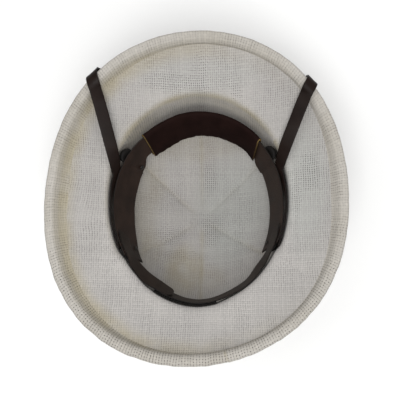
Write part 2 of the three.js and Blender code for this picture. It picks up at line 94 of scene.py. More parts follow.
BRIM = Sizes(radius=164, sides=138.5, front=150, back=151, straight=0.72)
# The outline's waves: how many per turn, cosine part, sine part
OUTLINE = [(1, -0.25, -1.0), (2, -7.8, 2.1), (3, 0.4, -1.0), (4, -1.6, -0.35)]
OPENING = Sizes(half_x=95.3, half_y=112.5, x=1, y=1, z=104, rounding=6.5)
CROWN = Sizes(apex_y=-8, power=2.35, panel_depth=0.042, relief=1.6, crease=0.7, crease_width=2.8)
CREASES = np.array([38, 90, 142, 216, 270, 324])  # their directions from the middle, in degrees
ROLL = Sizes(radius=6.5, lift=2.2, slot=8.2)
BAND = Sizes(half_x=89.4, half_y=99.8, x=1, y=-5.8, z=101.5, front_drop=3, thickness=1.6)
BAND_LEAN = Sizes(left=26.5, right=18, back=14)
BAND_POINT = Sizes(share=0.016, span=26)
# The headband's width by degrees away from the front
BAND_WIDTHS = [(0, 29), (47, 29), (56, 38), (75, 40), (110, 40), (132, 36)]


def lerp(a, b, s):
    return a + (b - a) * s


def smooth(x):
    x = np.clip(x, 0, 1)
    return x * x * (3 - 2 * x)


def vec(x, y, z):
    return np.stack(np.broadcast_arrays(x, y, z), -1).astype(float)


def unit(v):
    return v / np.maximum(np.linalg.norm(v, axis=-1, keepdims=True), 1e-9)


def dot(a, b):
    return (a * b).sum(-1, keepdims=True)


UP = vec(0, 0, 1)


def radial(t):
    return vec(np.cos(t), np.sin(t), 0)


def oval_way(oval, t):
    """The way out from an oval, level."""
    return unit(vec(oval.half_y * np.cos(t), oval.half_x * np.sin(t), 0))


def running(steps):
    """The sum of the steps up to each point."""
    return np.append(0, np.cumsum(steps))


def run_length(points):
    return running(np.linalg.norm(np.diff(points, axis=0), axis=1))


def look_up(table, at, *keys, **ends):
    """Values between the places of a table."""
    return [np.interp(at, table["at"], table[key], **ends) for key in keys]


def across_panel(t):
    """0 on a crease and 1 on the next."""
    ends = np.append(CREASES, CREASES[0] + 360)
    degrees = np.degrees(t) % 360
    degrees = np.where(degrees < ends[0], degrees + 360, degrees)
    i = np.clip(np.searchsorted(ends, degrees, side="right") - 1, 0, len(CREASES) - 1)
    return (degrees - ends[i]) / (ends[i + 1] - ends[i])


def from_crease(t):
    """The angle to the nearest crease, in radians."""
    away = (np.degrees(t)[..., None] - CREASES + 180) % 360 - 180
    return np.radians(np.abs(away).min(-1))


def crown_share(level):
    """How far out a level of the crown lies."""
    return np.sin(level * PI / 2) ** (2 / CROWN.power)


def crown_point(t, level):
    """The crown's inner face: level is 0 at the middle of the top and 1 at the opening."""
    share = crown_share(level)
    drop = np.maximum(np.cos(level * PI / 2), 0) ** (2 / CROWN.power)
    fade = smooth(share / 0.35) * smooth((1 - share) / 0.06 + 0.25)
    panel = np.sqrt(np.sin(PI * across_panel(t)) ** 2 + 0.01) - 0.1
    a, b = OPENING.half_x, OPENING.half_y
    rim = a * b / np.hypot(b * np.cos(t), a * np.sin(t))
    r = rim * share * (1 - CROWN.panel_depth * fade * panel)
    y = lerp(CROWN.apex_y, OPENING.y, share)
    z = OPENING.z - (OPENING.z - WALL) * drop
    return vec(OPENING.x + r * np.cos(t), y + r * np.sin(t), z)


def brim_radius(t):
    return BRIM.radius + sum(c * np.cos(n * t) + s * np.sin(n * t) for n, c, s in OUTLINE)


def roll_middle(t):
    r = brim_radius(t) - ROLL.radius + 0.4
    end = np.where(np.sin(t) > 0, BRIM.front, BRIM.back)
    crest = lerp(BRIM.sides, end, np.sin(t) ** 2)
    return vec(r * np.cos(t), r * np.sin(t), crest - ROLL.radius - 0.6 * ROLL.lift)


def brim_point(t, out):
    """The underside of the brim: out is 0 at the opening's corner and 1 at the roll's middle."""
    corner, end = crown_point(t, 1), roll_middle(t)
    rise = BRIM.straight * out + (1 - BRIM.straight) * out**2
    level = lerp(corner, end, np.asarray(out)[..., None])
    level[..., 2] = lerp(corner[..., 2], end[..., 2], rise)
    return level


def square_to(way, t):
    """The unit vector at right angles to a way across the brim, on its underside."""
    return unit(dot(way, radial(t)) * UP - way[..., 2:] * radial(t))


def brim_normal(t, out):
    return square_to(brim_point(t, out + 0.02) - brim_point(t, out - 0.02), t)


def roll_frame(t):
    middle = roll_middle(t)
    along = unit(middle - brim_point(t, 0.95))
    return middle, along, square_to(along, t)


def away_from_front(degrees):
    turn = (degrees - 90) % 360
    return np.minimum(turn, 360 - turn)


def band_point(degrees, deep, off):
    """A point on the hanging ring: deep is measured from its near edge, and off towards the head."""
    t = np.radians(degrees)
    away = away_from_front(degrees)
    point = 1 + BAND_POINT.share * np.maximum(0, 1 - (180 - away) / BAND_POINT.span)
    near = vec(
        BAND.x + BAND.half_x * point * np.cos(t),
        BAND.y + BAND.half_y * point * np.sin(t),
        BAND.z - BAND.front_drop * smooth(1 - away / 70),
    )
    outward = oval_way(BAND, t)
    lean_side = lerp(BAND_LEAN.right, BAND_LEAN.left, smooth(0.5 - 0.7 * np.cos(t)))
    lean = np.radians(lerp(lean_side, BAND_LEAN.back, smooth((away - 92) / 48)))[..., None]
    deep, off = np.asarray(deep)[..., None], np.asarray(off)[..., None]
    near = near - outward * (deep * np.sin(lean) + off * np.cos(lean))
    return near + UP * (off * np.sin(lean) - deep * np.cos(lean))


def band_width(degrees):
    away = away_from_front(degrees)
    width = np.full(np.shape(away), float(BAND_WIDTHS[0][1]))
    for (a, wa), (b, wb) in zip(BAND_WIDTHS, BAND_WIDTHS[1:]):
        width = np.where(away > a, lerp(wa, wb, smooth((away - a) / (b - a))), width)
    return width


# Meshes from grids of points


def surface(name, grid, uv, material, slot, replaces, wrap_rows=False, **values):
    """A closed mesh from rows of points that each run round. With wrap_rows the last row joins the first, and
    else the ends get caps. uv is a table with one more column, and row where they join, or a function that
    gives the faces' corners. values are numbers for each point that the material reads."""
    rows, columns = grid.shape[:2]
    index = np.arange(rows * columns).reshape(rows, columns)
    if wrap_rows:
        index = np.vstack([index, index[:1]])
    index = np.hstack([index, index[:, :1]])

    def corners(table):
        return np.stack([table[:-1, :-1], table[1:, :-1], table[1:, 1:], table[:-1, 1:]], 2)

    quads = corners(index).reshape(-1, 4)
    coords = uv(corners) if callable(uv) else corners(uv).reshape(-1, 2)
    faces = quads.tolist()
    if not wrap_rows:
        faces += [index[0, :-1].tolist(), index[-1, -2::-1].tolist()]
        ends = [grid[0, :, :2], grid[-1, ::-1, :2]] if callable(uv) else [uv[0, :-1], uv[-1, -2::-1]]
        coords = np.concatenate([coords, *ends])
    mesh = new_mesh(name, (grid.reshape(-1, 3) * MM).tolist(), faces, material)
    layer = mesh.uv_layers.new(name="weave")
    layer.data.foreach_set("uv", coords.astype(np.float32).ravel())
    for key, value in values.items():
        attribute = mesh.attributes.new(key, "FLOAT", "POINT")
        spread = np.broadcast_to(value, (rows, columns)).astype(np.float32)
        attribute.data.foreach_set("value", spread.ravel())

    # The faces are turned outwards.
    made = bmesh.new()
    made.from_mesh(mesh)
    if made.calc_volume(signed=True) < 0:
        bmesh.ops.reverse_faces(made, faces=made.faces)
    made.to_mesh(mesh)
    made.free()
    mesh.polygons.foreach_set("use_smooth", [True] * len(mesh.polygons))
    piece = add_object(name, mesh)
    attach(piece, "root")
    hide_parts(*replaces)
    return piece


def section(columns, corner=5):
    """A strip's rounded section: each point's share across, side, and two parts of its corner's turn."""
    across = np.linspace(0, 1, columns)
    angles = np.radians(np.linspace(90, -90, corner + 2)[1:-1])
    one, none = np.ones(columns), np.zeros(columns)
    far = [np.ones(corner), 0.5 + 0.5 * np.sign(np.round(np.sin(angles), 6)), np.cos(angles), np.sin(angles)]
    back = [across[::-1], none, none, -one]
    near = [np.zeros(corner), 1 - far[1], -far[2], -far[3]]
    return [np.concatenate(parts) for parts in zip([across, one, none, one], far, back, near)]


def strip_points(place, low, high, under, over, radius, columns):
    """Rows of points round a strip, which points lie on a cut edge, and their places across the strip.
    place(deep, off) gives the points. low and high are the strip's edges and under and over its faces, one
    number per row. The first and last rows are drawn in a little."""
    share, side, ca, cb = section(columns)
    low, high, under, over = (np.broadcast_to(v, low.shape)[:, None] for v in (low, high, under, over))
    radius = np.minimum(radius, (over - under) / 2 - 0.01)
    deep = lerp(low + radius, high - radius, share) + radius * ca
    off = lerp(under + radius, over - radius, side) + radius * cb
    for row in (0, -1):
        off[row] = lerp(off[row], off[row].mean(), 0.35)
    edge = np.broadcast_to(np.abs(ca) > 0.2, deep.shape).astype(float)
    edge[0] = edge[-1] = 1
    return place(deep, off), edge, deep


def close_rows(table):
    return np.hstack([table, table[:, :1]])


def strip_uv(grid, deep):
    """Length along the strip and depth across it, in millimetres."""
    along = run_length(grid.mean(1))[:, None]
    return close_rows(np.stack(np.broadcast_arrays(along, deep), -1))


def curve(points, count):
    """Evenly spaced rows on a smooth curve through the given ones, whose first three columns are the place."""
    padded = np.vstack([2 * points[0] - points[1], points, 2 * points[-1] - points[-2]])
    s = np.linspace(0, 1, 24, endpoint=False)[:, None]
    pieces = []
    for a, b, c, d in zip(padded, padded[1:], padded[2:], padded[3:]):
        pieces.append(b + 0.5 * s * (c - a + s * (2 * a - 5 * b + 4 * c - d + s * (3 * (b - c) + d - a))))
    dense = np.vstack([*pieces, points[-1:]])
    reach = run_length(dense[:, :3])
    at = np.linspace(0, reach[-1], count)
    return np.stack([np.interp(at, reach, column) for column in dense.T], 1)


def waves(x, *rows):
    """A sum of sines: each row has how many per unit, a height and a start."""
    return sum(height * np.sin(2 * PI * (per * x + start)) for per, height, start in rows)


# Materials


class Nodes:
    """Builds a material. An input is a number, a colour or another node's output."""

    def __init__(self, name):
        self.material = bpy.data.materials.new(name)
        self.material.use_nodes = True
        self.tree = self.material.node_tree
        self.shader = self.tree.nodes["Principled BSDF"]

    def put(self, socket, value):
        if isinstance(value, bpy.types.NodeSocket):
            self.tree.links.new(value, socket)
        else:
            socket.default_value = value

    def add(self, kind, inputs=None, **settings):
        node = self.tree.nodes.new("ShaderNode" + kind)
        for key, value in settings.items():
            setattr(node, key, value)
        for key, value in (inputs or {}).items():
            self.put(node.inputs[key], value)
        return node

    def math(self, operation, *values):
        return self.add("Math", dict(enumerate(values)), operation=operation).outputs[0]

    def rest(self, value):
        """What is left of 1."""
        return self.math("SUBTRACT", 1.0, value)

    def sum(self, *values):
        total = values[0]
        for value in values[1:]:
            total = self.math("ADD", total, value)
        return total

    def times(self, *values):
        total = values[0]
        for value in values[1:]:
            total = self.math("MULTIPLY", total, value)
        return total

    def step(self, value, low, high):
        """Smooth from 0 at low to 1 at high."""
        inputs = {"Value": value, "From Min": low, "From Max": high}
        return self.add("MapRange", inputs, interpolation_type="SMOOTHSTEP").outputs[0]

    def mix(self, share, a, b, **settings):
        node = self.add("Mix", data_type="RGBA", **settings)
        for i, value in ((0, share), (6, a), (7, b)):
            self.put(node.inputs[i], (*value, 1) if isinstance(value, tuple) else value)
        return node.outputs[2]

    def noise(self, vector, scale, detail=3.0):
        return self.add("TexNoise", {"Vector": vector, "Scale": scale, "Detail": detail}).outputs[0]

    def value(self, name):
        """A number that surface() kept for each point."""
        return self.add("Attribute", attribute_name=name).outputs["Fac"]

    def cloth(self):
        """The place on the cloth, in millimetres."""
        return self.add("UVMap", uv_map="weave").outputs[0]

    def finish(self, colour, height, depth, roughness, **sockets):
        """Sets the shader. depth is the height's size in millimetres."""
        bump = self.add("Bump", {"Height": height, "Distance": depth * MM, "Strength": 1.0})
        self.put(self.shader.inputs["Normal"], bump.outputs[0])
        self.put(self.shader.inputs["Base Color"], colour)
        self.put(self.shader.inputs["Roughness"], roughness)
        for key, value in sockets.items():
            self.shader.inputs[key.replace("_", " ")].default_value = value
        return self.material


WANDER = 3.2  # how far the threads stray, in millimetres
COOL_CLOTH = (0.40, 0.408, 0.386)
# The colour of an open hole in the weave: painted shade, for the dark seen through it.
HOLE_SHADE = (0.045, 0.04, 0.035)


def woven(name, pitch, light, dark, groove, gap_tone):
    """Plain weave: two sets of threads that pass over and under each other, pitch apart, with small holes
    between. groove is the colour painted for shade and browner tint, and gap_tone the tone of the painted shade
    between threads."""
    n = Nodes(name)
    uv = n.cloth()
    wander = n.add("TexNoise", {"Vector": uv, "Scale": 0.05, "Detail": 2.0}).outputs[1]
    moved = n.add("VectorMath", {0: wander, 1: (WANDER,) * 3}, operation="MULTIPLY").outputs[0]
    cloth = n.add("VectorMath", {0: uv, 1: moved}, operation="ADD").outputs[0]
    cloth = n.add("VectorMath", {0: cloth, 1: (1 / pitch,) * 3}, operation="MULTIPLY").outputs[0]
    x, y = n.add("SeparateXYZ", {0: cloth}).outputs[:2]
    wave_x, wave_y = (n.math("SINE", n.times(v, PI)) for v in (x, y))
    round_x, round_y = (n.math("ABSOLUTE", v) for v in (wave_x, wave_y))
    warp_over = n.times(n.math("SIGN", wave_x), wave_y)
    weft_over = n.times(n.math("SIGN", wave_y), wave_x)
    warp = n.sum(n.math("SQRT", round_x), warp_over)
    weft = n.math("SUBTRACT", n.math("SQRT", round_y), weft_over)
    height = n.times(0.5, n.math("MAXIMUM", warp, weft))

    def chance(column, row):
        cell = n.add("CombineXYZ", {0: column, 1: row}).outputs[0]
        return n.add("TexWhiteNoise", {"Vector": cell}, noise_dimensions="2D").outputs[0]

    # Each thread has a tone of its own. The fixed second numbers keep the two sets' draws apart.
    on_top = n.math("GREATER_THAN", warp, weft)
    weft_tone, warp_tone = chance(n.math("FLOOR", y), 7.0), chance(n.math("FLOOR", x), 3.0)
    tone = n.add("Mix", {0: on_top, 2: weft_tone, 3: warp_tone}).outputs[0]
    fibres = n.noise(uv, 3.0)
    thread = n.sum(0.92, n.times(0.13, tone), n.times(0.07, fibres))

    # Holes lie at the threads' corners. Most are filled, and open ones gather in patches.
    corner = n.times(n.rest(round_x), n.rest(round_y))
    openness = n.sum(n.value("open"), n.times(0.5, n.step(n.noise(uv, 0.035), 0.5, 0.8)))
    filling = chance(n.math("ROUND", x), n.math("ROUND", y))
    is_open = n.step(n.math("SUBTRACT", openness, filling), 0.0, 0.5)
    hole = n.times(n.step(corner, 0.3, 0.62), is_open)

    # Painted shade darkens the gaps between threads, most where the cloth is thin, and some gaps get dark
    # dashes of painted shade.
    thin = n.times(0.8, n.step(n.noise(uv, 0.028), 0.35, 0.65))
    thin = n.sum(0.4, thin, n.times(0.4, n.value("open")))
    gap = n.times(1 - gap_tone, n.rest(n.step(height, 0.06, 0.72)), thin)
    picked = n.step(chance(n.math("ROUND", x), n.math("FLOOR", y)), 0.25, 0.95)
    dash = n.times(0.3, n.rest(n.step(round_x, 0.12, 0.6)), picked, thin)

    colour = n.mix(n.step(n.noise(uv, 0.018), 0.3, 0.7), light, dark)
    # Painted shade: the groove value mixes in the groove colour, for shade beside the roll, in creases and
    # corners, and also for a darker lap seam and browner patches.
    painted_shade_share = n.times(n.value("groove"), n.step(n.noise(uv, 0.03, 2.0), 0.1, 0.6))
    colour = n.mix(painted_shade_share, colour, groove)
    colour = n.mix(n.times(0.7, n.value("cool")), colour, COOL_CLOTH)
    # The tone value is painted light and shade, set by place on the shell.
    shade = n.times(thread, n.rest(gap), n.rest(dash), n.value("tone"))
    shade = n.add("CombineColor", {0: shade, 1: shade, 2: shade}).outputs[0]
    colour = n.mix(1.0, colour, shade, blend_type="MULTIPLY")
    # Open holes get the painted shade colour.
    colour = n.mix(n.times(0.9, hole), colour, HOLE_SHADE)
    relief = n.sum(height, n.times(0.25, fibres), n.times(-1.2, hole))
    return n.finish(colour, relief, 0.32, 0.92, Sheen_Weight=0.05)


def leather(name, dark, light, edge, rough, shine, grain=0.7, depth=0.07):
    """Leather with a cloudy tone, an edge colour, and pebbles of a size and depth in mm.
    The edge colour marks cut edges, and on the rear straps it is painted shadow under their edges.
    """
    n = Nodes(name)
    uv = n.cloth()
    cells = n.add("TexVoronoi", {"Vector": uv, "Scale": 1 / grain, "Randomness": 1.0}).outputs[0]
    clouds = n.noise(uv, 0.05, 4.0)
    fine = n.noise(uv, 1.6)
    tone = n.sum(n.times(0.75, clouds), n.times(0.25, fine))
    colour = n.mix(n.step(tone, 0.32, 0.68), dark, light)
    cut_edge_and_shadow = n.times(n.value("edge"), n.step(n.noise(uv, 0.25, 2.0), 0.15, 0.6))
    colour = n.mix(cut_edge_and_shadow, colour, edge)
    height = n.sum(n.rest(cells), n.times(0.8, fine), n.times(2.0, clouds))
    roughness = n.sum(rough - 0.08, n.times(0.16, clouds))
    return n.finish(colour, height, depth, roughness, Specular_IOR_Level=shine)


def pile_material():
    n = Nodes("pile_black")
    tone = n.noise(n.cloth(), 0.8, 4.0)
    colour = n.mix(n.step(tone, 0.3, 0.7), (0.004, 0.0038, 0.0036), (0.012, 0.0105, 0.0095))
    return n.finish(colour, tone, 0.4, 1.0, Sheen_Weight=0.03, Specular_IOR_Level=0.05)


def rivet_material():
    n = Nodes("rivet_dark")
    place = n.add("TexCoord").outputs["Object"]
    marks = n.noise(place, 900.0, 4.0)
    colour = n.mix(n.step(marks, 0.35, 0.65), (0.012, 0.011, 0.01), (0.04, 0.036, 0.032))
    roughness = n.sum(0.3, n.times(0.35, marks))
    return n.finish(colour, marks, 0.03, roughness, Metallic=0.55)


SHELL_PITCH = 2.25
EDGE_PITCH = 2.9
SHELL_CLOTH = woven(
    "shell_weave", SHELL_PITCH, gap_tone=0.45,
    light=(0.442, 0.423, 0.403), dark=(0.410, 0.392, 0.376), groove=(0.385, 0.345, 0.262),
)
EDGE_CLOTH = woven(
    "binding_weave", EDGE_PITCH, gap_tone=0.58,
    light=(0.440, 0.416, 0.380), dark=(0.40, 0.374, 0.332), groove=(0.375, 0.336, 0.252),
)
BAND_LEATHER = leather(
    "band_leather", rough=0.5, shine=0.14,
    dark=(0.015, 0.0088, 0.0066), light=(0.03, 0.0178, 0.0132), edge=(0.009, 0.007, 0.006),
)
STRAP_LEATHER = leather(
    "strap_leather", rough=0.42, shine=0.1,
    dark=(0.0088, 0.0052, 0.0041), light=(0.015, 0.0092, 0.0074), edge=(0.006, 0.0042, 0.0035),
)
# The rear straps' edge colour is painted shadow under their edges.
REAR_LEATHER = leather(
    "rear_strap_leather", rough=0.48, shine=0.14,
    dark=(0.0125, 0.0078, 0.0058), light=(0.027, 0.0182, 0.0138), edge=(0.0022, 0.0017, 0.0014),
)
PAD_LEATHER = leather(
    "pad_leather", rough=0.85, shine=0.06, grain=1.0, depth=0.1,
    dark=(0.0082, 0.0034, 0.0028), light=(0.0135, 0.0058, 0.0048), edge=(0.17, 0.115, 0.042),
)
TAB_LEATHER = leather(
    "tab_leather", rough=0.6, shine=0.12,
    dark=(0.004, 0.0036, 0.0034), light=(0.009, 0.0078, 0.007), edge=(0.005, 0.0045, 0.004),
)
PILE_CLOTH = pile_material()
RIVET = rivet_material()

# The shell

# Patches of the cloth, seen from above: the middle's x and y, half the size along x and y, and the strength.
# Where the weave has lost its filling
OPEN_PATCHES = [
    (4, 131, 10, 20, 1.0),
    (-28, 124, 30, 8, 0.9),
    (33, 123, 14, 8, 0.6),
    (42, 112, 6, 6, 0.8),
    (116, 30, 10, 20, 1.1),
    (103, 3, 5, 20, 1.0),
    (11, 49, 7, 30, 1.2),
    (14, -20, 11, 18, 1.2),
    (-36, -26, 19, 12, 1.0),
    (-22, -50, 21, 7, 0.7),
]
# Where it is greyer
COOL = [
    (40, 10, 42, 48, 0.9),
    (28, -45, 24, 20, 0.6),
    (112, 12, 22, 60, 0.8),
    (5, 130, 60, 16, 0.4),
]
# Where the cloth is browner and darker
BROWNER_PATCHES = [
    (-19, -68, 18, 26, 0.95),
    (-66, 8, 16, 50, 0.35),
    (-10, 74, 60, 14, 0.35),
    (-56, -46, 14, 20, 0.35),
    (-48, 40, 10, 26, 0.25),
    (14, -78, 14, 14, 0.3),
]


def patches(points, table):
    """How strongly a point lies in the table's patches."""
    total = 0
    for x, y, half_x, half_y, strength in table:
        reach = np.hypot((points[..., 0] - x) / half_x, (points[..., 1] - y) / half_y)
        total = total + strength * smooth(1.5 - reach)
    return total


def groove_shade(t):
    """How much shade is painted into the groove beside the roll: most on the left, and least on the right."""
    return np.clip(0.62 - 0.6 * np.cos(t) + 0.1 * np.sin(t) ** 2, 0, 1)


def shell_directions(per_panel=88):
    """Directions from the middle, closer together near the creases."""
    share = np.linspace(0, 1, per_panel, endpoint=False)
    share = share - 0.6 * np.sin(2 * PI * share) / (2 * PI)
    ends = np.append(CREASES, CREASES[0] + 360)
    return np.radians(np.concatenate([lerp(a, b, share) for a, b in zip(ends, ends[1:])]))


# How much shade is painted into each crease, in the creases' order.
CREASE_SHADES = [0.25, 0.3, 0.2, 0.15, 0.5, 0.35]


def crease_shade(t):
    """How much shade is painted into the creases."""
    return np.interp(np.degrees(t), CREASES, CREASE_SHADES, period=360)


def crease_marks(t, points, level):
    """1 in the bottom of a crease and 0 beside it."""
    share = crown_share(level)
    reach = np.hypot(points[..., 0] - OPENING.x, points[..., 1] - CROWN.apex_y)
    fade = smooth((share - 0.05) / 0.14) * smooth((0.99 - share) / 0.12)
    return fade * np.exp(-((from_crease(t) * reach / CROWN.crease_width) ** 2))


def panel_relief(t, level):
    """How far the cloth stands in from the mould between two creases."""
    share = crown_share(level)
    fade = smooth((share - 0.08) / 0.3) * smooth((0.99 - share) / 0.25)
    return CROWN.relief * fade * np.sqrt(np.sin(PI * across_panel(t)) ** 2 + 0.004)


# How far the opening's corner stands in behind the rear straps, by degrees
INSET = dict(
    at=[213, 219, 231, 239, 262, 280, 288, 300, 325, 331, 334],
    mm=[0, 2.2, 2.5, 1, 0.5, 1, 2.4, 2.9, 3, 0.5, 0],
)


def inset(t):
    return np.interp(np.degrees(t) % 360, INSET["at"], INSET["mm"], left=0, right=0)


CORNER_RINGS = 8
WALL_TURN = 4  # rings past the crown where the wall ends


def shell_lines(t):
    """Rings of points over the inner face, from the top's middle to the edge inside the roll, their places on
    the brim, how deep they lie in a crease, and how many belong to the crown."""
    levels = np.concatenate([[0.004], np.linspace(0.03, 0.9748, 60)])
    crown = np.stack([crown_point(t, level) for level in levels])
    inward = square_to(np.gradient(crown, axis=0), t)
    crease = crease_marks(t, crown, levels[:, None])
    crown = crown + inward * (panel_relief(t, levels[:, None]) - CROWN.crease * crease)[..., None]
    corner = crown_point(t, 1)
    outward = unit(brim_point(t, 0.2) - corner)
    start, end = corner - OPENING.rounding * UP, corner + OPENING.rounding * outward
    shares = np.linspace(0, 1, CORNER_RINGS + 1)[1:]
    turn = [lerp(lerp(start, corner, s), lerp(corner, end, s), s) for s in shares]
    outs = np.linspace(0.17, 1, 28)
    brim = [brim_point(t, out) for out in outs]
    edge_way = unit(brim[-1] - brim_point(t, 0.95))
    edge = brim[-1] + edge_way * (ROLL.slot - ROLL.radius - GAP)
    rings = np.stack([*crown, *turn, *brim, edge])
    crease = np.concatenate([crease, np.zeros((len(rings) - len(crown), len(t)))])

    # The inset grows on the wall and dies out on the brim.
    outs = np.append(outs, 1)
    nearly = np.concatenate([np.zeros(len(crown)), np.linspace(0.02, 0.13, CORNER_RINGS), outs])
    share = smooth((rings[..., 2] - 60) / 24) * smooth((0.42 - nearly) / 0.42)[:, None]
    outs = np.concatenate([np.zeros(len(crown) + CORNER_RINGS), outs])
    return rings - radial(t) * (inset(t) * share)[..., None], outs, crease, len(crown)


def weave_maps(rings, crown_count):
    """Where the threads run. They keep to X and Y, and on the wall one set turns to run down it. The wall's
    extra length is added to X on the side panels and to Y on the front and back ones, in whole repeats."""
    repeat = 2 * SHELL_PITCH
    steps = np.diff(rings, axis=0)
    extra = (np.linalg.norm(steps, axis=-1) - np.hypot(steps[..., 0], steps[..., 1])).mean(1)
    wall = running(extra)
    wall = np.minimum(wall, wall[crown_count + WALL_TURN])
    wall *= repeat * round(wall[-1] / repeat) / wall[-1]
    x, y = rings[..., 0], rings[..., 1]
    wall = wall[:, None]
    # On the left side of the brim the cloth is pulled askew.
    left = np.exp(-(((np.degrees(np.arctan2(y, x)) % 360 - 180) / 17) ** 2)) * smooth((-x - 95) / 25)
    side = np.stack([x + wall * np.sign(x) - 0.2 * y * left, y], -1)
    front = np.stack([x, y + wall * np.sign(y)], -1)
    return side, front


def shell_shade_and_tint(t, rings, outs, crease, crown_count):
    """Painted shade, in a browner colour: beside the roll, most on the left, inside the opening's corner and in
    creases; and browner patches of cloth.
    """
    to_roll = (1 - outs[:, None]) * np.linalg.norm(rings[-2] - rings[crown_count + 3], axis=-1)
    # Painted shade beside the roll, strongest on the left.
    beside = smooth((30 - to_roll) / 18) * (outs[:, None] > 0) * groove_shade(t) ** 2
    along = running(np.linalg.norm(np.diff(rings, axis=0), axis=-1).mean(1))
    # Painted shade inside the opening's corner, most at the front.
    corner = np.exp(-(((along - along[crown_count + 2]) / 4.5) ** 2))[:, None]
    corner = corner * np.maximum(smooth(np.sin(t) * 1.4), 0.45 * smooth(-np.cos(t + 0.6) * 1.4))
    return np.clip(beside + 0.9 * corner + crease_shade(t) * crease + patches(rings, BROWNER_PATCHES), 0, 1)


def shell_painted_light(t, height, in_crown, front_wall):
    """Painted light and shade in the cloth's tone: darker deep in the crown and on the brim's left and right,
    lighter at the brim's back, and lighter on the front wall.
    """
    crown = 0.92 + 0.06 * smooth((height - 80) / 20)
    brim = 0.98 - 0.06 * np.cos(t) ** 2 - 0.01 * np.cos(t)
    brim = brim * (1 + 0.05 * smooth(-np.sin(t)))
    return np.where(in_crown, crown * (1 + 0.26 * front_wall), brim)


def make_shell():
    """The inner face as it is seen, and an outer one at the wall's thickness with half as many rings."""
    t = shell_directions()
    rings, outs, crease, crown_count = shell_lines(t)
    outer = rings - square_to(np.gradient(rings, axis=0), t) * WALL
    reach = np.hypot(rings[..., 0] - 1, rings[..., 1] + 3)
    outer[..., 2] *= smooth((reach - 17) / 20)
    keep = np.arange(len(rings))[::-2]
    grid = np.concatenate([rings, outer[keep]])
    side, front = (np.concatenate([m, m[keep]]) for m in weave_maps(rings, crown_count))
    middles = (np.degrees(t) + 0.1) % 360
    on_left = (middles > CREASES[2]) & (middles < CREASES[3])
    on_side = on_left | (middles > CREASES[5]) | (middles < CREASES[0])

    def uv(corners):
        maps = [corners(close_rows(m)) for m in (side, front)]
        return np.where(on_side[None, :, None, None], *maps).reshape(-1, 2)

    height, in_crown = rings[..., 2], outs[:, None] == 0
    # The front wall: painted lighter in its tone, and given painted shade in its groove value.
    front_wall = in_crown * smooth((height - 68) / 16) * smooth((103 - height) / 5)
    front_wall = front_wall * smooth((np.sin(t) - 0.1) / 0.5)
    # The groove value: painted shade and browner tint, with more painted shade on the front wall.
    shade_and_tint = shell_shade_and_tint(t, rings, outs, crease, crown_count)
    groove = np.concatenate([np.clip(shade_and_tint + 0.45 * front_wall, 0, 1), 0.4 * shade_and_tint[keep]])
    # Painted light and shade, kept in the tone value.
    tone = shell_painted_light(t, height, in_crown, front_wall)
    tone = np.concatenate([tone, np.ones_like(tone[keep])])
    surface("shell_cloth", grid, uv, SHELL_CLOTH, "woven_shell", ["shell"], open=patches(grid, OPEN_PATCHES),
            groove=groove, cool=np.clip(patches(grid, COOL), 0, 1), tone=tone)


LAP_AT = 281  # where the strip's ends lap, in degrees
ROLL_ROWS = 720
CREST_COLUMN = 8
# The roll's section by direction
ROLL_SHAPE = dict(
    at=[0, 50, 90, 135, 180, 225, 255, 270, 315, 340],
    leaves=[4.8, 3.4, 4.1, 4.8, 3.9, 4.8, 5.8, 6.0, 5.9, 5.2],
    runs_out=[10, 4.5, 4.5, 10.5, 16, 11.5, 4.3, 2.9, 3.6, 7],
    high=[0.45, 0.52, 0.56, 0.68, 0.72, 0.64, 0.75, 0.75, 0.6, 0.5],
)


def roll_shape(t):
    """Where the roll leaves its circle, how far it runs out on the brim, and how high it stands."""
    return look_up(ROLL_SHAPE, np.degrees(t)[:, None], "leaves", "runs_out", "high", period=360)


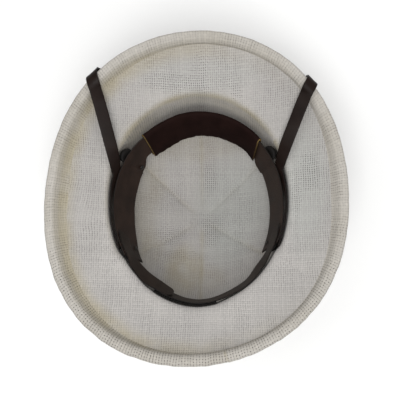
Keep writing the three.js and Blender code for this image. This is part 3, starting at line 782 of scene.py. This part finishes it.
def make_binding():
    """The rolled strip: round, a little uneven and lapped, with an inner side that runs out on the brim."""
    turn = np.linspace(0, 1, ROLL_ROWS, endpoint=False)[:, None]
    t = math.radians(LAP_AT) + 2 * PI * turn[:, 0]
    middle, along, facing = (v[:, None] for v in roll_frame(t))
    slot_top = GAP + 0.1
    slot_bottom = -WALL - slot_top
    centre = ROLL.lift - WALL / 2
    leaves, runs_out, high = roll_shape(t)
    first = PI - math.asin((slot_bottom - centre) / ROLL.radius)
    last = 3 * PI - np.arccos(leaves / ROLL.radius)
    share = np.linspace(0, 1, 26)
    angle = lerp(first, last, share)
    uneven = waves(turn, (41, 0.1, 0.2), (67, 0.08, 0.5), (97, 0.06, 0.1), (23, 0.12, 0.7))
    uneven = uneven + 0.06 * np.sin(3 * angle + 40 * t[:, None])
    lap = (turn + 0.0016 * np.sin(angle)) % 1
    uneven = uneven * (0.7 + 0.6 * smooth(-np.sin(t[:, None]))) + 0.4 * (1 - smooth(lap / 0.03)) - 0.25
    uneven = uneven * smooth((1 - share) / 0.3)
    radius = ROLL.radius + uneven
    stands = radius * np.sin(angle)
    stands = centre + stands * np.where(stands > 0, high, 1)
    arc = middle + along * (radius * np.cos(angle))[..., None] + facing * stands[..., None]

    # The lip's upper side falls from the roll into the brim's cloth, and its lower side comes back inside it.
    down = np.linspace(0, 1, 12)[1:]
    fall = np.sqrt(ROLL.radius ** 2 - leaves**2)
    height = centre + high * fall
    slope = -high * leaves / fall * runs_out
    upper = (2 * down**3 - 3 * down**2 + 1) * height + (down**3 - 2 * down**2 + down) * slope
    upper = upper - (3 * down**2 - 2 * down**3) * 0.3 - (down**3 - down**2) * 0.12 * runs_out
    upper = np.maximum(upper, 0.25 - 0.55 * smooth((down - 0.6) / 0.4))
    back, back_lift = np.array([0.98, 0.7, 0.3, 0.0]), [-0.7, -0.7, -0.5, slot_top]
    reach = np.hstack([leaves + runs_out * down, leaves + runs_out * back])
    lift = np.hstack([upper, np.tile(back_lift, (ROLL_ROWS, 1))])
    out = 1 - reach / np.linalg.norm(roll_middle(t) - crown_point(t, 1), axis=-1)[:, None]
    lip = brim_point(t[:, None], out) + brim_normal(t[:, None], out) * lift[..., None]
    slot_end = ROLL.slot - ROLL.radius
    slot = [middle + along * slot_end + facing * n for n in (slot_top, slot_bottom)]
    grid = np.hstack([arc, lip, *slot])

    # The weave runs round the section and along the crest, in whole repeats.
    round_step = np.linalg.norm(np.diff(close_rows(grid), axis=1), axis=-1)
    around = np.hstack([np.zeros((ROLL_ROWS, 1)), np.cumsum(round_step, 1)])
    around = np.concatenate([around, around[:1]])
    length = run_length(grid[:, CREST_COLUMN])
    length = np.append(length, length[-1] + length[1])
    repeat = 2 * EDGE_PITCH
    length *= repeat * round(length[-1] / repeat) / length[-1]
    uv = np.stack(np.broadcast_arrays(length[:, None], around), -1)
    # The groove value: a darker seam at the lap, painted shade on the lip beside the roll that also reaches the
    # end of the roll's arc, and the full groove colour on the hidden faces.
    seam = np.exp(-(((lap - 0.0005) / 0.0012) ** 2)) * 0.9
    beside = smooth((reach[:, :len(down)] - 1.5) / 8) * groove_shade(t)[:, None]
    seam = np.maximum(seam, smooth((share - 0.8) / 0.2) * beside[:, :1])
    hidden = np.ones((ROLL_ROWS, len(back) + len(slot)))
    surface("edge_roll", grid, uv, EDGE_CLOTH, "woven_binding", ["edge_binding"], wrap_rows=True, cool=0,
            tone=1, open=0.1 + 0.7 * smooth(-np.sin(t))[:, None], groove=np.hstack([seam, beside, hidden]))


# The headband and what lies on it

BAND_ENDS = (-31, 219)
RIVETS = [
    dict(name="front_left", at=147.5, top=1.5, deep=31),
    dict(name="front_right", at=33.6, top=1.5, deep=31),
    dict(name="rear_left", at=208, top=-14, deep=32),
    dict(name="rear_right", at=-23.5, top=-14, deep=32),
]


def dimples(degrees, deep):
    """How far the band is drawn back round its rivets."""
    total = 0
    for r in RIVETS:
        away = np.hypot((degrees - r["at"]) * 1.6, deep - r["deep"])
        total = total + np.exp(-((away / 5) ** 2))
    return total


LEAN_DEPTH = 34  # from the near edge to where the leans of the deep edge are given
# How far the rear straps lean past the band's end, by degrees from the front: their near edge out towards the
# wall and up to its corner, and their deep edge in
REAR_LEAN = dict(
    at=[121, 128, 136, 143, 150, 158, 162, 172],
    left_near=[0, 2.6, 2.9, 2.4, 1.2, 0.3, 0, 0],
    left_deep=[0, 0.8, 2.5, 4.2, 4.6, 3.4, 2.5, 0],
    right_near=[0, 1.2, 1.2, 0.2, 0, 0, 0, 0],
    right_deep=[0, 0.8, 1.0, 0.9, 1.0, 1.0, 0.9, 0],
    up=[0, 1.8, 2.2, 2.0, 1.5, 0.6, 0, 0],
)


def rear_lean(away, side):
    return look_up(REAR_LEAN, away[:, None], side + "_near", side + "_deep", "up", left=0, right=0)


# How far the front of the band leans in more, by degrees: near edge and deep edge
FRONT_LEAN = dict(
    at=[28, 36, 46, 56, 68, 90, 104, 112, 126, 133, 140, 150],
    near=[0, 0, 0, 0, 0, 0.4, 1, 2.2, 2.8, 1, 0, 0],
    deep=[1.5, 1.8, 0, 0.8, 2, 1.8, 2.2, 3.4, 3.4, 1, -1.8, -0.8],
)


def lean_in(degrees, depth):
    near, deep = look_up(FRONT_LEAN, degrees, "near", "deep", left=0, right=0)
    return lerp(near, deep, np.clip(depth / LEAN_DEPTH, 0, 1))


def make_headband():
    s = np.linspace(0, 1, 220)
    degrees = lerp(*BAND_ENDS, s)
    width = band_width(degrees)
    slant = 8 * (smooth(1 - s / 0.12) - smooth(1 - (1 - s) / 0.12))
    low = 0.15 * np.sin(degrees / 7)
    half = BAND.thickness / 2

    def place(deep, off):
        turn = degrees[:, None] + slant[:, None] * (1 - deep / width[:, None])
        off = off - 0.5 * dimples(turn, deep) + waves(turn / 360, (11, 0.12, 0.1), (19, 0.07, 0.6))
        off = off + lean_in(turn, deep)
        return band_point(turn, deep, off)

    grid, edge, deep = strip_points(place, low, low + width, -half, half, radius=0.7, columns=18)
    uv = strip_uv(grid, deep)
    surface("headband_leather", grid, uv, BAND_LEATHER, "band_leather", ["headband"], edge=edge)


PAD = Sizes(start=43.5, end=131.5, depth=35, length=150)


def make_pad():
    """The brow pad: a folded skin over the band's near edge, softly filled, with cut edges that show."""
    outline = np.array([
        [35.2, 2.5], [33, 3.1], [26, 3.8], [17, 4.2], [9, 4.1], [3, 3.75], [-0.6, 3.1], [-2.6, 1.7], [-3.1, 0],
        [-2.6, -1.6], [-0.6, -2.7], [4, -3.1], [16, -2.9], [33, -2.6], [35, -2.5],
    ])
    inside = np.array([[35, -1.45], [20, -1.4], [0.6, -1.4], [-0.35, 0], [0.6, 1.4], [20, 1.4], [35.2, 1.5]])
    flat = [np.column_stack([line, np.zeros(len(line))]) for line in (outline, inside)]
    profile = np.vstack([curve(flat[0], 54), curve(flat[1], 24)])[:, :2]
    tip = np.array([0, 0.0025, 0.005, 0.01, 0.016])
    s = np.concatenate([tip, np.linspace(0.022, 0.978, 144), 1 - tip[::-1]])
    degrees = lerp(PAD.start, PAD.end, s)[:, None]
    slope = -5 * smooth(1 - s / 0.3) + 2.5 * smooth((s - 0.7) / 0.3)
    deep, off = profile[:, 0], profile[:, 1]
    uneven = waves(s[:, None], (5, 0.35, 0.1), (13, 0.25, 0.4), (23, 0.15, 0.8))
    deep = deep + np.maximum(deep / PAD.depth, 0) ** 4 * uneven
    down = deep / PAD.depth
    swell = 0.25 + waves(s[:, None], (3.2, 0.14, 0.2), (7.3, 0.1, 0.6))
    off = off + np.where(off > 2, swell * np.sin(PI * np.clip(down, 0, 1)), 0)
    taper = smooth(np.minimum(s, 1 - s) / 0.012)[:, None]
    off = np.where(off > 1.5, lerp(off - 0.7, off, taper), off)
    turn = degrees + slope[:, None] * down
    grid = band_point(turn, deep, off + lean_in(turn, deep))
    edge = 0.7 * smooth((deep - 34.7) / 0.4) * np.ones_like(off)
    edge[:2] = np.where(deep[:2] < 3, 1, 0.25)
    edge[-2:] = 0.9
    uv = close_rows(np.stack(np.broadcast_arrays(PAD.length * s[:, None], run_length(profile)), -1))
    pad = surface("brow_pad_leather", grid, uv, PAD_LEATHER, "pad_leather", ["brow_pad"], edge=edge)


REAR = Sizes(width=18, thickness=1.2, near=0.8, point=6, leaves=131)
LAYER = (REAR.thickness + GAP) / 2 + 0.05  # the straps' middles at the lap, from the ring
PILE = Sizes(start=-120, end=-78, near=-1.5, width=13, thickness=1.3, fibres=5000, seed=7)


def make_rear_strap(side, point, tip, layer):
    """A strap that lies on the band and runs on past its end to the lap at the back, at the layer's height."""
    s = np.linspace(0, 1, 200)
    degrees = lerp(point, tip, s)
    away, from_point = away_from_front(degrees), np.abs(degrees - point)
    half = REAR.thickness / 2
    on_band = BAND.thickness / 2 + GAP + 0.25 + half
    off = lerp(on_band, layer, smooth((away - REAR.leaves) / 14))
    pointed = np.minimum(1, 0.08 + from_point / REAR.point)
    rounded = np.sqrt(np.clip(1 - np.clip((s - 0.955) / 0.045, 0, 1) ** 2, 0.1, 1))
    width = REAR.width * np.minimum(pointed, 0.25 + 0.75 * rounded)
    middle = REAR.near + REAR.width / 2
    low = np.where(s > 0.9, middle - width / 2, REAR.near)
    near_out, deep_in, up = rear_lean(away, side)
    lifted = 0.9 * smooth(1 - from_point / 9)[:, None] + waves(s[:, None], (2.3, 0.07, 0.3))

    def place(deep, off):
        share = (deep - REAR.near) / REAR.width
        off = off - near_out * (1 - share) + deep_in * share + lifted
        return band_point(degrees[:, None], deep - up * (1 - share), off)

    grid, edge, deep = strip_points(place, low, low + width, off - half, off + half, radius=0.5, columns=14)
    # Painted shadow: the strap's border gets the dark edge colour, most near its pointed tip, for the shadow
    # under its edge.
    to_edge = np.minimum(deep - low[:, None], (low + width)[:, None] - deep)
    edge = np.maximum(edge, smooth(1 - to_edge / 2) * smooth(1.3 - from_point / 9)[:, None])
    surface(f"rear_strap_{side}_leather", grid, strip_uv(grid, deep), REAR_LEATHER, "strap_leather",
            [f"rear_strap_{side}"], edge=edge)


def make_pile():
    """The hook-and-loop strip: a backing with short fibres that stand up on its face and its near edge."""
    s = np.linspace(0, 1, 120)
    degrees = lerp(PILE.start, PILE.end, s)
    under = -REAR.thickness - 1.5 * GAP - 0.125
    near = np.full(s.shape, PILE.near)

    def place(deep, off):
        return band_point(degrees[:, None], deep, off)

    far, back = near + PILE.width, under - PILE.thickness
    grid, _, deep = strip_points(place, near, far, back, under, radius=0.5, columns=16)
    strip = surface("rear_pile", grid, strip_uv(grid, deep), PILE_CLOTH, "pile_cloth", ["rear_pile_strip"])
    rng = np.random.default_rng(PILE.seed)
    count = PILE.fibres
    degrees = rng.uniform(PILE.start, PILE.end, count)
    deep = rng.uniform(-1.6, 11.6, count)
    on_edge = deep < -1.0
    off = under - np.where(on_edge, 0.65, 1.25)
    root = band_point(degrees, deep, off)
    stand = unit(band_point(degrees, deep, off - 1) - root) + 0.7 * rng.normal(size=(count, 3))
    stand[:, 2] += np.where(on_edge, 1.6, 0.2)
    tip = root + unit(stand) * rng.uniform(0.5, 1.5, (count, 1))
    wide = unit(np.cross(stand, rng.normal(size=(count, 3)))) * 0.07
    points = np.stack([root - wide, root + wide, tip], 1).reshape(-1, 3)
    faces = np.arange(3 * count).reshape(-1, 3).tolist()
    mesh = new_mesh("pile_fibres", (points * MM).tolist(), faces, PILE_CLOTH)
    add_object("pile_fibres", mesh).parent = strip


# The chin strap

CHIN = Sizes(width=13, thickness=1.7, height=97, rivet_drop=2.5, lift=2.3, twist_on_wall=0.4, front=0.16)
CHIN_OFF = CHIN.thickness / 2 + GAP + 0.125
CHIN_ROUTE = dict(
    left=dict(start=212, rivet=209, twist=186, leave=164, cross=133.2, over=128.6),
    right=dict(start=-31, rivet=-28, twist=-4, leave=19, cross=42.4, over=45.6),
)


def wall_level(height):
    """The crown's level at a height."""
    share = np.clip((OPENING.z - height) / (OPENING.z - WALL), 0, 1)
    return np.arccos(share ** (CROWN.power / 2)) * 2 / PI


def chin_wall_place(degrees):
    """The middle of the strap on the wall. It is clear of the wall at its lower edge too."""
    t = np.radians(degrees)
    face = -oval_way(OPENING, t)
    at = crown_point(t, wall_level(CHIN.height - CHIN.width / 2)) + face * (CHIN_OFF + GAP)
    at[..., 2] = CHIN.height
    return at, face


def roll_place(degrees, turn, off):
    """A place round the roll: turn is 0 on its crest, and grows over the edge to the outer side."""
    middle, along, facing = roll_frame(np.radians(degrees))
    turn, off = np.asarray(turn)[..., None], np.asarray(off)[..., None]
    face = facing * np.cos(turn) + along * np.sin(turn)
    return middle + facing * (ROLL.lift - WALL / 2) + face * (ROLL.radius + off), face


def outer_brim_place(degrees, out, off):
    """A place off the brim's outer face."""
    t = np.radians(degrees)
    face = -brim_normal(t, out)
    return brim_point(t, out) + face * (WALL + off), face


WALL_STEPS, RISE_STEPS, ROUND_STEPS = 17, 14, 8
CREST_TURN = -0.25  # where the strap comes down on the roll, in radians from its crest


def chin_half(start, rivet, twist, leave, cross, over):
    """One half of the strap: its outer edge runs along the wall and then straight to the crest of the roll,
    and the strap twists flat about that edge on the way."""
    reach = CHIN.width / 2
    crest, crest_face = (v[0] for v in roll_place(np.array([cross]), [CREST_TURN], [CHIN_OFF + 0.4]))
    degrees = np.linspace(start, leave, WALL_STEPS)
    at, inward = chin_wall_place(degrees)
    turned = CHIN.twist_on_wall * np.maximum(0, (degrees - twist) / (leave - twist))
    edge = at + UP * (reach + 2.5 * turned)[:, None]
    last, last_inward = edge[-1], inward[-1]
    along = unit(crest - last)
    hand = np.sign(np.cross(last_inward, along)[2])
    end = crest + unit(np.cross(crest_face, along)) * hand * reach
    s = np.linspace(0, 1, RISE_STEPS + 1)[1:]
    lift = CHIN.lift * np.sin(PI * np.minimum(1, s / 0.6))
    rising = lerp(last, end, s[:, None]) + UP * lift[:, None]
    edge = np.vstack([edge, rising])
    inward = np.vstack([inward, np.tile(last_inward, (RISE_STEPS, 1))])
    turned = np.concatenate([turned, lerp(CHIN.twist_on_wall, 1, np.minimum(1, s / 0.3))])
    settled = np.concatenate([np.zeros(WALL_STEPS), smooth((s - 0.8) / 0.2)])[:, None]
    angle = (turned * PI / 2)[:, None]
    face = unit(inward * np.cos(angle) + unit(crest_face + UP) * np.sin(angle))
    face = lerp(face, crest_face, settled)
    side = unit(np.cross(face, np.gradient(edge, axis=0))) * -hand * reach
    s = np.linspace(0, 1, ROUND_STEPS + 1)[1:]
    off = CHIN_OFF + lerp(0.4, 1.25, s**3)
    round_at, round_face = roll_place(lerp(cross, over, s), lerp(CREST_TURN, 2.9, s), off)
    return np.hstack([np.vstack([edge + side, round_at]), np.vstack([face, round_face])])


def make_chin_strap():
    left, right = chin_half(**CHIN_ROUTE["left"]), chin_half(**CHIN_ROUTE["right"])[::-1]
    s = np.linspace(0, 1, 25)
    out = lerp(CHIN.front, 0.66, np.abs(2 * s - 1) ** 1.6)
    degrees = lerp(CHIN_ROUTE["left"]["over"] - 5, CHIN_ROUTE["right"]["over"] + 5, s)
    over = np.hstack(outer_brim_place(degrees, out, CHIN_OFF + 0.9))
    route = curve(np.vstack([left, over, right]), 520)
    ribbon("chin_strap_leather", "chin_strap", route, CHIN.width, CHIN.thickness, STRAP_LEATHER)


def ribbon(name, node, route, width, thickness, material, columns=12, sag=None):
    """A strap along a route, whose rows have the place and the way its face looks. sag moves its two edges."""
    at, face = route[:, :3], route[:, 3:]
    along = unit(np.gradient(at, axis=0))
    side = unit(np.cross(face, along))
    face = np.cross(along, side)
    half, thick = np.broadcast_to(width, len(at)) / 2, thickness / 2

    def place(across, off):
        outness = (across / half[:, None]) ** 2
        off = off + 0.12 * (1 - outness)
        points = at[:, None] + side[:, None] * across[..., None] + face[:, None] * off[..., None]
        return points if sag is None else points + sag[:, None] * outness[..., None]

    grid, edge, across = strip_points(place, -half, half, -thick, thick, radius=0.6, columns=columns)
    surface(name, grid, strip_uv(grid, across), material, "strap_leather", [node], edge=edge)


# Hangers and rivets

HANGER = Sizes(width=14, thickness=1.6, wall_leg=17, slack=0.35, fold=6)


def wall_reach(start, outward, height):
    """How far the crown's wall at a height is from a point of the band, along a level line."""
    reach, level = 0.0, wall_level(height)
    for _ in range(12):
        p = start + outward * reach
        wall = crown_point(np.arctan2(p[1] - OPENING.y, p[0] - OPENING.x), level)
        reach += float(((wall - p) * [1, 1, 0] * outward).sum())
    return reach


def make_hanger(name, at, top, deep):
    """A folded tab: one leg on the crown's wall, a rounded fold, and one leg behind the band to its rivet."""
    t = math.radians(at)
    outward = oval_way(BAND, t)
    across = vec(-outward[1], outward[0], 0)
    half = HANGER.thickness / 2
    leg_off = -(BAND.thickness / 2 + GAP + half + HANGER.slack)
    near = band_point(at, 0, 0)
    crest = near[2] + top
    spread = math.degrees(HANGER.width / 2 / BAND.half_x)

    def wall_at(height):
        starts = [near + across * w * HANGER.width for w in (-0.5, 0, 0.5)]
        reach = min(wall_reach(p, outward, height) for p in starts)
        return [reach - half - GAP - HANGER.slack, height]

    def band_at(down):
        points = [band_point(at + turn, down, leg_off) for turn in (0, -spread, spread)]
        return [max(float((p - near) @ outward) for p in points), float(points[0][2])]

    deep_top = max(1, -top + 3)
    wall_top, band_top = wall_at(crest - 3), band_at(deep_top)
    middle = [lerp(wall_top[0], band_top[0], 0.4), crest + HANGER.fold]
    s = np.linspace(0, 1, 7)[:, None]
    a, b, c = (np.array(p) for p in (wall_top, middle, band_top))
    fold = lerp(lerp(a, b, s), lerp(b, c, s), s)
    line = [wall_at(crest - HANGER.wall_leg), wall_at(crest - HANGER.wall_leg / 2), *fold]
    line = np.array([*line, band_at(lerp(deep_top, deep, 0.5)), band_at(deep + 4)])
    base = near * [1, 1, 0]
    points = base + line[:, :1] * outward + line[:, 1:] * UP
    way = np.gradient(line, axis=0)
    face = unit(-way[:, 1:] * outward + way[:, :1] * UP)
    s = np.linspace(0, 1, 70)
    route = curve(np.hstack([points, face]), len(s))
    width = HANGER.width * (0.8 + 0.35 * np.exp(-(((s - 0.38) / 0.2) ** 2)))
    sag = (-3.4 * outward - 3.0 * UP) * np.exp(-(((s - 0.3) / 0.17) ** 2))[:, None]
    ribbon(f"hanger_{name}_tab", f"hanger_{name}", route, width, HANGER.thickness, TAB_LEATHER, 18, sag)


RIVET_DOME = 0.9


def make_rivet(name, at, way, behind, front):
    """A rivet through what it holds, with a domed head in front and a flat one behind."""
    angle = np.linspace(0, PI / 2, 9)
    dome = np.column_stack([2.5 * np.cos(angle), front + RIVET_DOME * np.sin(angle) ** 0.9])
    back = [[0.05, -behind - 0.7], [1.7, -behind - 0.7], [2.1, -behind - 0.45], [2.25, -behind], [1.2, -behind]]
    profile = np.vstack([back, [[1.2, front], [2.3, front - 0.02]], dome[:-1], [[0.05, front + RIVET_DOME]]])
    turn = np.linspace(0, 2 * PI, 28, endpoint=False)[:, None]
    a = unit(vec(way[1], -way[0], 0))
    b = np.cross(way, a)
    ring = np.cos(turn) * a + np.sin(turn) * b
    radius, height = profile.T[..., None, None]
    grid = at + height * way + radius * ring
    uv = np.zeros((len(profile), len(turn) + 1, 2))
    surface(name + "_head", grid, uv, RIVET, "rivet_metal", [name])


def make_rivets():
    half = BAND.thickness / 2
    behind = half + HANGER.thickness + 3 * GAP + 2 * HANGER.slack
    for r in RIVETS:
        at = band_point(r["at"], r["deep"], 0)
        way = unit(band_point(r["at"], r["deep"], 1) - at)
        make_rivet(f"rivet_{r['name']}", at, way, behind, half + GAP - 0.1)
    for side, route in CHIN_ROUTE.items():
        at, face = chin_wall_place(np.array([route["rivet"]]))
        at = at[0] - UP * CHIN.rivet_drop
        behind = CHIN_OFF + WALL + 4 * GAP
        make_rivet(f"chin_rivet_{side}", at, face[0], behind, CHIN.thickness / 2 + GAP)


make_shell()
make_binding()
make_headband()
make_pad()
make_rear_strap("left", 195, 252, LAYER)
make_rear_strap("right", -11, -119, -LAYER)
make_pile()
make_chin_strap()
for r in RIVETS:
    make_hanger(r["name"], r["at"], r["top"], r["deep"])
make_rivets()

# The studio

SIDE = 6.0  # half the floor, in metres
WORLD_STRENGTH = 0.24


def make_floor():
    n = Nodes("floor")
    tone = n.noise(n.add("TexCoord").outputs["Object"], 3.0, 2.0)
    colour = n.mix(tone, (0.86, 0.86, 0.855), (0.9, 0.9, 0.895))
    square = [(x * SIDE, y * SIDE, 0) for x, y in ((-1, -1), (1, -1), (1, 1), (-1, 1))]
    floor = add_object("floor", new_mesh("floor", square, [range(4)], n.finish(colour, tone, 0.0, 0.9)))


# Soft lights: name, place, size and power in watts. All are aimed at the helmet.
LIGHTS = [
    ("left", (-1.9, 0, 1.2), 1.2, 5),
    ("right", (1.9, 0, 1.2), 1.2, 4),
    ("front", (0, 1.9, 1.2), 1.2, 12.5),
    ("right_back", (1.3, -1.3, 1.3), 1.2, 7),
    ("high_back", (0, -0.9, 2.1), 1.0, 29),
    ("high_left", (-0.9, 0, 2.1), 1.0, 7),
    ("by_camera", (0.1, -0.3, 2.3), 0.5, 7),
]


def make_light(name, at, size, power):
    data = bpy.data.lights.new(name, "AREA")
    data.size = size
    data.energy = power
    light = add_object(name, data)
    light.location = at
    light.rotation_euler = (Vector((0, 0, 0.1)) - Vector(at)).to_track_quat("-Z", "Y").to_euler()


make_floor()
for row in LIGHTS:
    make_light(*row)
world = bpy.data.worlds.new("studio")
world.use_nodes = True
background = world.node_tree.nodes["Background"].inputs
background["Color"].default_value = (1, 1, 1, 1)
background["Strength"].default_value = WORLD_STRENGTH
scene.world = world
scene.view_settings.view_transform = "Standard"
